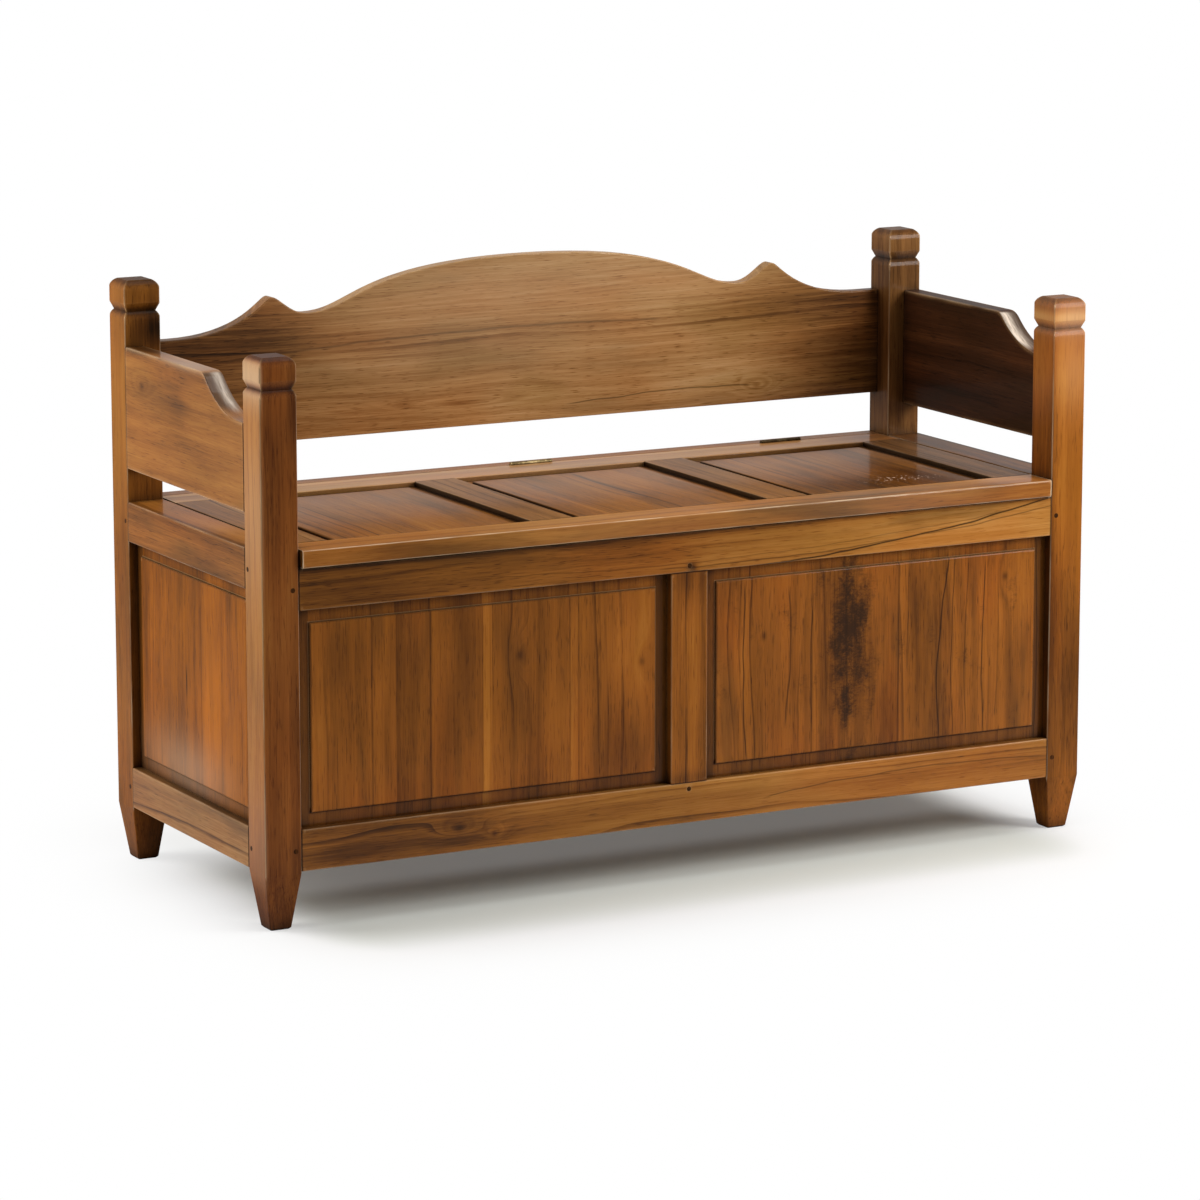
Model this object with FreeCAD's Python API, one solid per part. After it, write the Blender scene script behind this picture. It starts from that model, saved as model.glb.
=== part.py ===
import FreeCAD, Part
import math
import os

# A hall settle: a low panelled chest under a hinged, framed lid, with arm boards and a shaped back board
# carried by four square posts. Millimetres, +Z up. The origin is on the floor, under the middle of the
# whole outline. The front faces -Y, and the left side, seen from the front, faces -X.

V = FreeCAD.Vector
X, Y, Z = range(3)
same_place = 1e-6

# Overall
bench_width = 1150.0
bench_depth = 448.0
seat_height = 460.0
arris_radius = 1.5

# Posts
post_section = 48.0
front_post_height = 690.0
back_post_height = 735.0
post_corner_radius = 2.0
foot_taper_height = 70.0
foot_taper_inset = 10.0
foot_edge_chamfer = 2.0
finial_top_inset = 8.0
finial_round_height = 12.5
finial_band_height = 15.5
finial_undercut_height = 10.4
neck_depth = 4.5
neck_shoulder_height = 10.4

# Rails and muntins of the chest
rail_height = 51.0
rail_thickness = 24.0
seat_rail_height = 50.0
bottom_rail_underside = 71.0
muntin_width = 51.0

# Mortise and tenon joints
tenon_thickness = 8.0
tenon_length = 26.0
tenon_shoulder = 6.0
joint_line = 15.5
mortise_clearance = 0.1
mortise_end_gap = 1.0

# Drawbore pegs
peg_diameter = 6.0
peg_length = 24.0
peg_setback = 8.0
peg_clearance = 0.05

# Raised and fielded panels of the chest
tongue_thickness = 7.0
groove_depth = 8.0
groove_clearance = 0.2
expansion_gap = 1.5
field_margin = 17.0
field_rise = 3.5
field_edge_radius = 2.5

# Arm boards: the gap is over the seat, the drops are below the tops of the posts
arm_thickness = 25.0
arm_gap = 42.0
arm_front_drop = 81.5
arm_back_drop = 81.0
ogee_start = 126.0
ogee_end = 14.0
ogee_round_radius = 28.0

# Back board: the gap is over the seat, the crest's end is below the tops of the posts, and the rises are
# over that end
back_board_thickness = 20.0
back_board_gap = 55.0
crest_end_drop = 81.5
crown_rise = 79.0
valley_rise = 22.5
peak_rise = 45.5
valley_from_post = 213.5
peak_from_post = 164.0
sweep_from_post = 27.0
crown_fullness = 0.775
valley_fullness = 0.223
valley_to_peak_handle = 24.0
peak_roundness = 11.0
sweep_fullness = 0.75

# Lid
lid_thickness = 22.0
lid_nosing = 5.0
lid_nosing_radius = 3.0
lid_side_gap = 3.0
lid_front_rail_width = 51.0
lid_back_rail_width = 55.0
lid_stile_width = 55.0
lid_muntin_width = 58.0
lid_muntin_count = 2
lid_tenon_length = 30.0
lid_field_recess = 3.5
lid_field_rise = 3.0
lid_field_edge_radius = 2.0
lid_field_margin = 16.0

# Butt hinges
hinge_count = 3
hinge_length = 60.0
hinge_from_lid_end = 150.0
hinge_gap = 1.5
hinge_axis_rise = 1.0
leaf_thickness = 1.2
leaf_height = 20.0
knuckle_radius = 2.75
knuckle_count = 3
knuckle_gap = 0.3
knuckle_notch_clearance = 0.4
pin_radius = 1.25
pin_clearance = 0.05

# Countersunk screws
screw_head_radius = 3.0
screw_head_height = 1.8
screw_shank_radius = 1.4
screw_length = 15.0
screw_clearance = 0.05
screws_per_leaf = 3
screw_end_margin = 10.0
cleat_screw_length = 32.0
cleat_screws_each = 4
cleat_screw_end_margin = 60.0

# Cleats and chest floor
cleat_section = 20.0
cleat_end_gap = 1.0
floor_cleat_rise = 5.0
floor_thickness = 12.0
floor_board_count = 6
floor_board_gap = 1.0
floor_edge_gap = 0.5

# Places worked out from the sizes
left_x = -bench_width / 2
right_x = bench_width / 2
front_y = -(bench_depth - lid_nosing) / 2
back_y = front_y + bench_depth
inner_left = left_x + post_section
inner_right = right_x - post_section
inner_front = front_y + post_section
inner_back = back_y - post_section
lid_underside = seat_height - lid_thickness
bottom_rail_z = [bottom_rail_underside, bottom_rail_underside + rail_height]
front_top_rail_z = [lid_underside - rail_height, lid_underside]
seat_rail_z = [seat_height - seat_rail_height, seat_height]
lid_x = [inner_left + lid_side_gap, inner_right - lid_side_gap]
lid_back_y = back_y - rail_thickness - hinge_gap
lid_y = [front_y - lid_nosing, lid_back_y]
lid_z = [lid_underside, seat_height]
lid_joint_line = lid_field_recess + lid_field_rise + tongue_thickness / 2
hinge_y = lid_back_y + hinge_gap / 2
hinge_z = seat_height + hinge_axis_rise
arm_underside = seat_height + arm_gap
arm_front_top = front_post_height - arm_front_drop
arm_back_top = back_post_height - arm_back_drop
back_board_underside = seat_height + back_board_gap
crest_end = back_post_height - crest_end_drop
crest_crown = crest_end + crown_rise
crest_valley = crest_end + valley_rise
crest_peak = crest_end + peak_rise

# Every piece's solid, the cavities that pieces sink into their neighbours, and the names of the pegs and
# screws, which pass whole through the cavities of others
pieces = {}
cavities = []
fasteners = set()


def block(ranges):
    """A box from its three [low, high] ranges."""
    sizes = [high - low for low, high in ranges]
    return Part.makeBox(*sizes, V(*[low for low, high in ranges]))


def grown(ranges, amounts):
    """The ranges widened on both sides by an amount for each axis."""
    return [[low - extra, high + extra] for (low, high), extra in zip(ranges, amounts)]


def along(axis, edge):
    """Whether a straight edge runs along an axis."""
    first, last = [vertex.Point for vertex in edge.Vertexes]
    return all(abs(first[other] - last[other]) < same_place for other in (X, Y, Z) if other != axis)


def eased_bar(ranges, axis, radius=arris_radius):
    """A bar with its four long edges eased."""
    bar = block(ranges)
    return bar.makeFillet(radius, [edge for edge in bar.Edges if along(axis, edge)])


def cylinder(radius, start, axis, length):
    """A cylinder from a start point along a signed axis vector."""
    return Part.makeCylinder(radius, length, V(*start), V(*axis))


def sink(owner, solid):
    """Note a cavity that every neighbour of its owner is cut by."""
    cavities.append((owner, solid))


def fitted(name, shape):
    """The shape with every other piece's cavity cut from it."""
    if name in fasteners:
        return shape
    near = [
        cavity for owner, cavity in cavities
        if owner != name and shape.BoundBox.intersect(cavity.BoundBox)
    ]
    if near:
        shape = shape.cut(near)
    return shape.removeSplitter()


def mirrored(shape):
    """The same piece on the other side of the bench."""
    return shape.mirror(V(0, 0, 0), V(1, 0, 0))


def tenon_ranges(bar, axis, end, across, middle, thickness, length, shoulder):
    """A tenon at one end of a bar: across is its thin axis, middle its place on that axis."""
    ranges = [list(pair) for pair in bar]
    wide = (set((X, Y, Z)) - {axis, across}).pop()
    face = bar[axis][0] if end < 0 else bar[axis][1]
    ranges[axis] = sorted([face, face + end * length])
    ranges[across] = [middle - thickness / 2, middle + thickness / 2]
    ranges[wide] = [bar[wide][0] + shoulder, bar[wide][1] - shoulder]
    return ranges


def add_tenon(name, shape, ranges, axis):
    """Join a tenon to its bar and sink its mortise, which is deeper than the tenon by the end gap."""
    amounts = [mortise_clearance] * 3
    amounts[axis] = mortise_end_gap
    sink(name, block(grown(ranges, amounts)))
    return shape.fuse(block(ranges))


def tenoned_bar(name, bar, axis, across, middle, length=tenon_length, thickness=tenon_thickness, shape=None):
    """A bar with a tenon at each end."""
    solid = shape or eased_bar(bar, axis)
    for end in (-1, 1):
        ranges = tenon_ranges(bar, axis, end, across, middle, thickness, length, tenon_shoulder)
        solid = add_tenon(name, solid, ranges, axis)
    pieces[name] = solid


def arc_arriving_upright(start, end):
    """An arc in the XZ plane from start to end that runs vertically at its end."""
    reach = end[0] - start[0]
    fall = end[1] - start[1]
    radius = (reach ** 2 + fall ** 2) / (2 * reach)
    centre = (end[0] - radius, end[1])
    sweep = math.atan2(fall, start[0] - centre[0]) * 0.5
    middle = (centre[0] + radius * math.cos(sweep), end[1] - radius * math.sin(sweep))
    return Part.Arc(V(start[0], 0, start[1]), V(middle[0], 0, middle[1]), V(end[0], 0, end[1])).toShape()


def line(start, end):
    """A straight edge in the XZ plane."""
    return Part.makeLine(V(start[0], 0, start[1]), V(end[0], 0, end[1]))


def post_outline(height):
    """The side view of a post above its foot, with the turned-looking finial at its top."""
    half = post_section / 2
    crown = (half - finial_top_inset, height)
    band_top = (half, height - finial_round_height)
    band_foot = (half, band_top[1] - finial_band_height)
    neck = (half - neck_depth, band_foot[1] - finial_undercut_height)
    shoulder = (half, neck[1] - neck_shoulder_height)
    foot = (half, foot_taper_height)
    right = [
        arc_arriving_upright(crown, band_top),
        line(band_top, band_foot),
        line(band_foot, neck),
        arc_arriving_upright(neck, shoulder),
        line(shoulder, foot),
    ]
    left = [edge.mirror(V(0, 0, 0), V(1, 0, 0)) for edge in right]
    top = line((-crown[0], height), crown)
    base = line((-half, foot_taper_height), foot)
    wire = Part.Wire(Part.__sortEdges__(right + left + [top, base]))
    return Part.Face(wire)


def rounded_square(half, radius, height):
    """A square wire with rounded corners at a height."""
    flat = half - radius
    diagonal = flat + radius * math.sqrt(0.5)
    edges = []
    for quarter in range(4):
        turn = FreeCAD.Rotation(V(0, 0, 1), 90 * quarter)
        side = [V(half, -flat, height), V(half, flat, height)]
        corner = [V(half, flat, height), V(diagonal, diagonal, height), V(flat, half, height)]
        edges.append(Part.makeLine(*[turn.multVec(point) for point in side]))
        edges.append(Part.Arc(*[turn.multVec(point) for point in corner]).toShape())
    return Part.Wire(edges)


def post(name, x_side, y_side, height):
    """A square post with a tapered foot, centred in its corner of the bench."""
    half = post_section / 2
    outline = post_outline(height)
    one_way = outline.extrude(V(0, post_section, 0))
    one_way.translate(V(0, -half, 0))
    other_way = one_way.copy()
    other_way.rotate(V(0, 0, 0), V(0, 0, 1), 90)
    stock = Part.Face(rounded_square(half, post_corner_radius, foot_taper_height))
    stock = stock.extrude(V(0, 0, height - foot_taper_height))
    upper = one_way.common(other_way).common(stock)
    toe = half - foot_taper_inset
    foot = Part.makeLoft([
        rounded_square(toe - foot_edge_chamfer, post_corner_radius, 0),
        rounded_square(toe, post_corner_radius, foot_edge_chamfer),
        rounded_square(half, post_corner_radius, foot_taper_height),
    ], True, True)
    shape = upper.fuse(foot)
    shape.translate(V(
        (left_x + half) if x_side < 0 else (right_x - half),
        (front_y + half) if y_side < 0 else (back_y - half),
        0,
    ))
    pieces[name] = shape


def fielded_panel(name, opening, normal, outward, back, margin, rise, edge_radius):
    """A raised and fielded panel whose thin edges sit in grooves round an opening.

    The opening is open along the normal axis; back is where the panel's flat back lies on that axis.
    """
    tuck = groove_depth - expansion_gap
    flat = [axis for axis in (X, Y, Z) if axis != normal]
    slab = [list(pair) for pair in opening]
    field = [list(pair) for pair in opening]
    groove = [list(pair) for pair in opening]
    for axis in flat:
        slab[axis] = [opening[axis][0] - tuck, opening[axis][1] + tuck]
        field[axis] = [opening[axis][0] + margin, opening[axis][1] - margin]
        groove[axis] = [opening[axis][0] - groove_depth, opening[axis][1] + groove_depth]
    tongue_face = back + outward * tongue_thickness
    field_face = tongue_face + outward * rise
    slab[normal] = sorted([back, tongue_face])
    field[normal] = sorted([back, field_face])
    groove[normal] = [slab[normal][0] - groove_clearance, slab[normal][1] + groove_clearance]
    raised = block(field)
    rim = [
        edge for edge in raised.Edges
        if all(abs(vertex.Point[normal] - field_face) < same_place for vertex in edge.Vertexes)
    ]
    raised = raised.makeFillet(edge_radius, rim)
    sink(name, block(groove))
    pieces[name] = block(slab).fuse(raised)


def peg_row(name, points, axis):
    """A group of drawbore pegs, each driven in from its point along the axis."""
    pegs = []
    for point in points:
        pegs.append(cylinder(peg_diameter / 2, point, axis, peg_length))
        sink(name, cylinder(peg_diameter / 2 + peg_clearance, point, axis, peg_length))
    pieces[name] = Part.makeCompound(pegs)
    fasteners.add(name)


def countersunk_screw(point, axis, length, extra=0.0):
    """A screw, or with extra its hole, whose flat head is at a point and which points along the axis."""
    head = Part.makeCone(
        screw_head_radius + extra, screw_shank_radius + extra, screw_head_height, V(*point), V(*axis))
    return head.fuse(cylinder(screw_shank_radius + extra, point, axis, length + extra))


def screw_group(name, points, axis, length):
    """A group of screws driven along one axis, with their holes."""
    made = pieces[name].Solids if name in pieces else []
    for point in points:
        made.append(countersunk_screw(point, axis, length))
        sink(name, countersunk_screw(point, axis, length, screw_clearance))
    pieces[name] = Part.makeCompound(made)
    fasteners.add(name)


def spread(count, low, high):
    """Evenly spaced places from low to high."""
    if count == 1:
        return [(low + high) / 2]
    step = (high - low) / (count - 1)
    return [low + step * index for index in range(count)]


def build_posts():
    post("left_front_post", -1, -1, front_post_height)
    post("right_front_post", 1, -1, front_post_height)
    post("left_back_post", -1, 1, back_post_height)
    post("right_back_post", 1, 1, back_post_height)


def build_long_frames():
    """The front and back frames of the chest: rails, a middle muntin and two panels each."""
    for side, face, inward, top_z in (
        ("front", front_y, 1, front_top_rail_z),
        ("back", back_y, -1, seat_rail_z),
    ):
        depth = sorted([face, face + inward * rail_thickness])
        middle = face + inward * joint_line
        for place, height in (("top", top_z), ("bottom", bottom_rail_z)):
            bar = [[inner_left, inner_right], depth, height]
            tenoned_bar(side + "_" + place + "_rail", bar, X, Y, middle)
        opening_z = [bottom_rail_z[1], top_z[0]]
        muntin = [[-muntin_width / 2, muntin_width / 2], depth, opening_z]
        tenoned_bar(side + "_muntin", muntin, Z, Y, middle)
        back = middle + inward * tongue_thickness / 2
        for place, across in (
            ("left", [inner_left, -muntin_width / 2]),
            ("right", [muntin_width / 2, inner_right]),
        ):
            fielded_panel(
                side + "_" + place + "_panel", [across, depth, opening_z], Y, -inward, back,
                field_margin, field_rise, field_edge_radius)


def build_side_frames():
    """The left and right frames of the chest: two rails and a panel each."""
    for side, face, inward in (("left", left_x, 1), ("right", right_x, -1)):
        middle = face + inward * joint_line
        seat_strip = sorted([face, face + inward * post_section])
        thin = sorted([face, face + inward * rail_thickness])
        length = [inner_front, inner_back]
        tenoned_bar(side + "_top_rail", [seat_strip, length, seat_rail_z], Y, X, middle)
        tenoned_bar(side + "_bottom_rail", [thin, length, bottom_rail_z], Y, X, middle)
        back = middle + inward * tongue_thickness / 2
        opening = [thin, length, [bottom_rail_z[1], seat_rail_z[0]]]
        fielded_panel(
            side + "_side_panel", opening, X, -inward, back, field_margin, field_rise, field_edge_radius)


def build_pegs():
    """Pegs through the posts into the rail tenons, and through the rails into the muntin tenons."""
    for side, face, inward, top_z in (
        ("front", front_y, 1, front_top_rail_z),
        ("back", back_y, -1, seat_rail_z),
    ):
        points = []
        for height in (top_z, bottom_rail_z):
            middle = (height[0] + height[1]) / 2
            points.append((inner_left - peg_setback, face, middle))
            points.append((inner_right + peg_setback, face, middle))
        points.append((0, face, top_z[0] + peg_setback))
        points.append((0, face, bottom_rail_z[1] - peg_setback))
        peg_row(side + "_pegs", points, (0, inward, 0))
    for side, face, inward in (("left", left_x, 1), ("right", right_x, -1)):
        points = []
        for height in (seat_rail_z, bottom_rail_z):
            middle = (height[0] + height[1]) / 2
            points.append((face, inner_front - peg_setback, middle))
            points.append((face, inner_back + peg_setback, middle))
        peg_row(side + "_pegs", points, (inward, 0, 0))


def arm_outline():
    """The arm's side view in the YZ plane: an ogee joins its two heights behind the front post."""
    start = V(0, inner_front + ogee_start, arm_back_top)
    end = V(0, inner_front + ogee_end, arm_front_top)
    run = start.y - end.y
    fall = start.z - end.z
    turn = 2 * math.atan2(abs(fall), run)
    down = math.copysign(1, fall)
    hollow_radius = run / math.sin(turn) - ogee_round_radius

    def on_round(angle):
        drop = down * ogee_round_radius * (1 - math.cos(angle))
        return V(0, start.y - ogee_round_radius * math.sin(angle), start.z - drop)

    def on_hollow(angle):
        climb = down * hollow_radius * (1 - math.cos(angle))
        return V(0, end.y + hollow_radius * math.sin(angle), end.z + climb)

    back_top = V(0, inner_back, arm_back_top)
    back_foot = V(0, inner_back, arm_underside)
    front_top = V(0, inner_front, arm_front_top)
    front_foot = V(0, inner_front, arm_underside)
    return [
        Part.makeLine(back_top, start),
        Part.Arc(start, on_round(turn / 2), on_round(turn)).toShape(),
        Part.Arc(on_round(turn), on_hollow(turn / 2), end).toShape(),
        Part.makeLine(end, front_top),
        Part.makeLine(front_top, front_foot),
        Part.makeLine(front_foot, back_foot),
        Part.makeLine(back_foot, back_top),
    ]


def ease_long_edges(board, axis, thickness_axis):
    """Ease the edges of a shaped board, except its thin ones and those of its two ends."""
    long_edges = []
    for edge in board.Edges:
        first, last = [vertex.Point for vertex in edge.Vertexes]
        across = abs(first[thickness_axis] - last[thickness_axis]) > same_place
        at_end = abs(first[axis] - last[axis]) < same_place
        if not across and not at_end:
            long_edges.append(edge)
    return board.makeFillet(arris_radius, long_edges)


def board_from_outline(edges, axis, thickness_axis, thickness_range):
    """A board from the closed outline of its face, with its long edges eased."""
    face = Part.Face(Part.Wire(Part.__sortEdges__(edges)))
    offset = V(0, 0, 0)
    offset[thickness_axis] = thickness_range[0]
    face.translate(offset)
    reach = V(0, 0, 0)
    reach[thickness_axis] = thickness_range[1] - thickness_range[0]
    return ease_long_edges(face.extrude(reach), axis, thickness_axis)


def build_arms():
    """The arm boards, flush with the outer faces of the posts and tenoned into them."""
    middle = left_x + arm_thickness / 2
    across = [left_x, left_x + arm_thickness]
    shape = board_from_outline(arm_outline(), Y, X, across)
    front_end = [across, [inner_front, inner_back], [arm_underside, arm_front_top]]
    back_end = [across, [inner_front, inner_back], [arm_underside, arm_back_top]]
    for side, flip in (("left", False), ("right", True)):
        name = side + "_arm_board"
        solid = mirrored(shape) if flip else shape
        for bar, end in ((front_end, -1), (back_end, 1)):
            ranges = tenon_ranges(bar, Y, end, X, middle, tenon_thickness, tenon_length, tenon_shoulder)
            if flip:
                ranges[X] = [-ranges[X][1], -ranges[X][0]]
            solid = add_tenon(name, solid, ranges, Y)
        pieces[name] = solid


def bezier(*points):
    """A smooth edge in the XZ plane from its control points."""
    curve = Part.BezierCurve()
    curve.setPoles([V(x, 0, z) for x, z in points])
    return curve.toShape()


def back_board_outline():
    """The back board's front view: crown, valley, peak and end sweep, the same on both sides."""
    valley = inner_right - valley_from_post
    peak = inner_right - peak_from_post
    sweep = inner_right - sweep_from_post
    crown_reach = crown_fullness * valley
    valley_reach = valley_fullness * valley
    sweep_reach = sweep_fullness * (sweep - peak)
    half = [
        bezier((0, crest_crown), (crown_reach, crest_crown), (valley - valley_reach, crest_valley),
               (valley, crest_valley)),
        bezier((valley, crest_valley), (valley + valley_to_peak_handle, crest_valley),
               (peak - peak_roundness, crest_peak), (peak, crest_peak)),
        bezier((peak, crest_peak), (peak + peak_roundness, crest_peak), (sweep - sweep_reach, crest_end),
               (sweep, crest_end)),
        line((sweep, crest_end), (inner_right, crest_end)),
    ]
    other = [edge.mirror(V(0, 0, 0), V(1, 0, 0)) for edge in half]
    low_right = (inner_right, back_board_underside)
    low_left = (inner_left, back_board_underside)
    return half + other + [
        line((inner_right, crest_end), low_right),
        line(low_right, low_left),
        line(low_left, (inner_left, crest_end)),
    ]


def build_back_board():
    """The shaped back board, flush with the back of the posts and tenoned into them."""
    depth = [back_y - back_board_thickness, back_y]
    middle = (depth[0] + depth[1]) / 2
    board = board_from_outline(back_board_outline(), X, Y, depth)
    bar = [[inner_left, inner_right], depth, [back_board_underside, crest_end]]
    tenoned_bar("back_board", bar, X, Y, middle, shape=board)


def build_lid():
    """The lid: a frame of two long rails, two stiles and muntins, with a fielded panel in each opening."""
    line_z = seat_height - lid_joint_line
    front_rail_back = lid_y[0] + lid_front_rail_width
    back_rail_front = lid_y[1] - lid_back_rail_width
    front_rail = block([lid_x, [lid_y[0], front_rail_back], lid_z])
    nosing = [
        edge for edge in front_rail.Edges
        if along(X, edge) and edge.Vertexes[0].Y < front_rail_back - same_place
    ]
    front_rail = front_rail.makeFillet(lid_nosing_radius, nosing)
    inner = [
        edge for edge in front_rail.Edges
        if along(X, edge) and edge.Vertexes[0].Y > front_rail_back - same_place
    ]
    pieces["lid_front_rail"] = front_rail.makeFillet(arris_radius, inner)
    pieces["lid_back_rail"] = eased_bar([lid_x, [back_rail_front, lid_y[1]], lid_z], X)
    between = [front_rail_back, back_rail_front]
    panel_back = line_z - tongue_thickness / 2
    edges_x = [lid_x[0], lid_x[1]]
    stiles = {
        "lid_left_stile": [edges_x[0], edges_x[0] + lid_stile_width],
        "lid_right_stile": [edges_x[1] - lid_stile_width, edges_x[1]],
    }
    clear = stiles["lid_right_stile"][0] - stiles["lid_left_stile"][1]
    opening = (clear - lid_muntin_count * lid_muntin_width) / (lid_muntin_count + 1)
    start = stiles["lid_left_stile"][1]
    for index in range(lid_muntin_count):
        low = start + (index + 1) * opening + index * lid_muntin_width
        stiles["lid_muntin_%d" % (index + 1)] = [low, low + lid_muntin_width]
    for name, across in stiles.items():
        tenoned_bar(name, [across, between, lid_z], Y, Z, line_z, lid_tenon_length, tongue_thickness)
    for index in range(lid_muntin_count + 1):
        low = start + index * (opening + lid_muntin_width)
        fielded_panel(
            "lid_panel_%d" % (index + 1), [[low, low + opening], between, lid_z], Z, 1, panel_back,
            lid_field_margin, lid_field_rise, lid_field_edge_radius)


def knuckle_span(start_x, index):
    """Where one knuckle lies along the pin, with half the gap at each joint between knuckles."""
    step = hinge_length / knuckle_count
    low = start_x + index * step
    high = low + step
    return [
        low + (knuckle_gap / 2 if index > 0 else 0),
        high - (knuckle_gap / 2 if index < knuckle_count - 1 else 0),
    ]


def hinge_leaf(start_x, side, own_knuckles):
    """One leaf with its knuckles: side is -1 for the lid's leaf and 1 for the rail's."""
    face = hinge_y + side * hinge_gap / 2
    plate = [
        [start_x, start_x + hinge_length],
        sorted([face, face + side * leaf_thickness]),
        [hinge_z - leaf_height, hinge_z],
    ]
    leaf = block(plate)
    for index in range(knuckle_count):
        if index not in own_knuckles:
            step = hinge_length / knuckle_count
            low = start_x + index * step - (knuckle_gap / 2 if index > 0 else 0)
            high = start_x + (index + 1) * step + (knuckle_gap / 2 if index < knuckle_count - 1 else 0)
            clearance = knuckle_radius + knuckle_notch_clearance
            leaf = leaf.cut(cylinder(clearance, (low, hinge_y, hinge_z), (1, 0, 0), high - low))
    for index in own_knuckles:
        low, high = knuckle_span(start_x, index)
        leaf = leaf.fuse(cylinder(knuckle_radius, (low, hinge_y, hinge_z), (1, 0, 0), high - low))
    bore = cylinder(pin_radius + pin_clearance, (start_x, hinge_y, hinge_z), (1, 0, 0), hinge_length)
    recess = block(plate)
    return leaf.cut(bore), recess


def build_hinges():
    """Butt hinges let into the back edge of the lid and the face of the back top rail."""
    first = lid_x[0] + hinge_from_lid_end
    last = lid_x[1] - hinge_from_lid_end
    rail_knuckles = list(range(0, knuckle_count, 2))
    lid_knuckles = list(range(1, knuckle_count, 2))
    recesses = []
    for number, middle in enumerate(spread(hinge_count, first, last), 1):
        start_x = middle - hinge_length / 2
        for part, side, knuckles in (("lid_leaf", -1, lid_knuckles), ("rail_leaf", 1, rail_knuckles)):
            name = "hinge_%d_%s" % (number, part)
            pieces[name], recess = hinge_leaf(start_x, side, knuckles)
            recesses.append(recess)
        pin = cylinder(pin_radius, (start_x, hinge_y, hinge_z), (1, 0, 0), hinge_length)
        pieces["hinge_%d_pin" % number] = pin
        recesses.append(cylinder(
            knuckle_radius + knuckle_notch_clearance, (start_x - knuckle_gap, hinge_y, hinge_z), (1, 0, 0),
            hinge_length + 2 * knuckle_gap))
        screw_z = hinge_z - (leaf_height + knuckle_radius) / 2
        end_x = start_x + hinge_length
        places = spread(screws_per_leaf, start_x + screw_end_margin, end_x - screw_end_margin)
        for group, side in (("lid_hinge_screws", -1), ("rail_hinge_screws", 1)):
            points = [(place, hinge_y + side * hinge_gap / 2, screw_z) for place in places]
            screw_group(group, points, (0, side, 0), screw_length)
    for name in ("lid_back_rail", "back_top_rail"):
        for recess in recesses:
            pieces[name] = pieces[name].cut(recess)


def build_cleats():
    """Cleats that carry the lid's ends and back and the chest floor, screwed to the rails from inside."""
    back_face = back_y - rail_thickness
    front_face = front_y + rail_thickness
    lid_cleat_z = [lid_underside - cleat_section, lid_underside]
    side_y = [front_face + cleat_end_gap, back_face - cleat_end_gap]
    side_low = [[inner_left, inner_left + cleat_section], side_y, lid_cleat_z]
    side_high = [[inner_right - cleat_section, inner_right], side_y, lid_cleat_z]
    inset = cleat_section + cleat_end_gap
    back_x = [inner_left + inset, inner_right - inset]
    back_low = [back_x, [back_face - cleat_section, back_face], lid_cleat_z]
    pieces["left_lid_cleat"] = eased_bar(side_low, Y)
    pieces["right_lid_cleat"] = eased_bar(side_high, Y)
    pieces["back_lid_cleat"] = eased_bar(back_low, X)
    floor_cleat_foot = bottom_rail_underside + floor_cleat_rise
    floor_z = [floor_cleat_foot, floor_cleat_foot + cleat_section]
    floor_x = [inner_left + cleat_end_gap, inner_right - cleat_end_gap]
    pieces["front_floor_cleat"] = eased_bar([floor_x, [front_face, front_face + cleat_section], floor_z], X)
    pieces["back_floor_cleat"] = eased_bar([floor_x, [back_face - cleat_section, back_face], floor_z], X)
    lid_z_middle = sum(lid_cleat_z) / 2
    floor_z_middle = sum(floor_z) / 2
    margin = cleat_screw_end_margin
    along_x = spread(cleat_screws_each, back_x[0] + margin, back_x[1] - margin)
    along_y = spread(cleat_screws_each, side_y[0] + margin, side_y[1] - margin)
    rows = (
        ([(x, back_face - cleat_section, lid_z_middle) for x in along_x], (0, 1, 0)),
        ([(x, back_face - cleat_section, floor_z_middle) for x in along_x], (0, 1, 0)),
        ([(x, front_face + cleat_section, floor_z_middle) for x in along_x], (0, -1, 0)),
        ([(inner_left + cleat_section, y, lid_z_middle) for y in along_y], (-1, 0, 0)),
        ([(inner_right - cleat_section, y, lid_z_middle) for y in along_y], (1, 0, 0)),
    )
    for points, axis in rows:
        screw_group("cleat_screws", points, axis, cleat_screw_length)


def build_floor():
    """Floor boards laid from front to back on the floor cleats, notched round the posts at the corners."""
    low = left_x + rail_thickness + floor_edge_gap
    high = right_x - rail_thickness - floor_edge_gap
    length = [front_y + rail_thickness + floor_edge_gap, back_y - rail_thickness - floor_edge_gap]
    base = bottom_rail_underside + floor_cleat_rise + cleat_section
    width = (high - low - (floor_board_count - 1) * floor_board_gap) / floor_board_count
    around = [floor_edge_gap, floor_edge_gap, 0]
    for index in range(floor_board_count):
        start = low + index * (width + floor_board_gap)
        board = block([[start, start + width], length, [base, base + floor_thickness]])
        for post_x in ([left_x, inner_left], [inner_right, right_x]):
            for post_y in ([front_y, inner_front], [inner_back, back_y]):
                footprint = grown([post_x, post_y, [0, front_post_height]], around)
                board = board.cut(block(footprint))
        pieces["floor_board_%d" % (index + 1)] = board


build_posts()
build_long_frames()
build_side_frames()
build_pegs()
build_arms()
build_back_board()
build_lid()
build_cleats()
build_floor()
build_hinges()

for piece_name, piece_shape in pieces.items():
    solid = fitted(piece_name, piece_shape)
    solid.exportStep("parts/" + piece_name + ".step")
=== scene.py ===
import math

import bpy
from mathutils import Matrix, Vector


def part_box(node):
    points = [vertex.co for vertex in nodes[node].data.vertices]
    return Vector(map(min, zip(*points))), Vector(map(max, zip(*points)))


# Dresses the settle bench in oiled and varnished wood, brass and steel, on a pale studio floor.
# All places are in metres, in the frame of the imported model: the front faces -Y, and the left side, seen from
# the front, faces -X.

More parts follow.
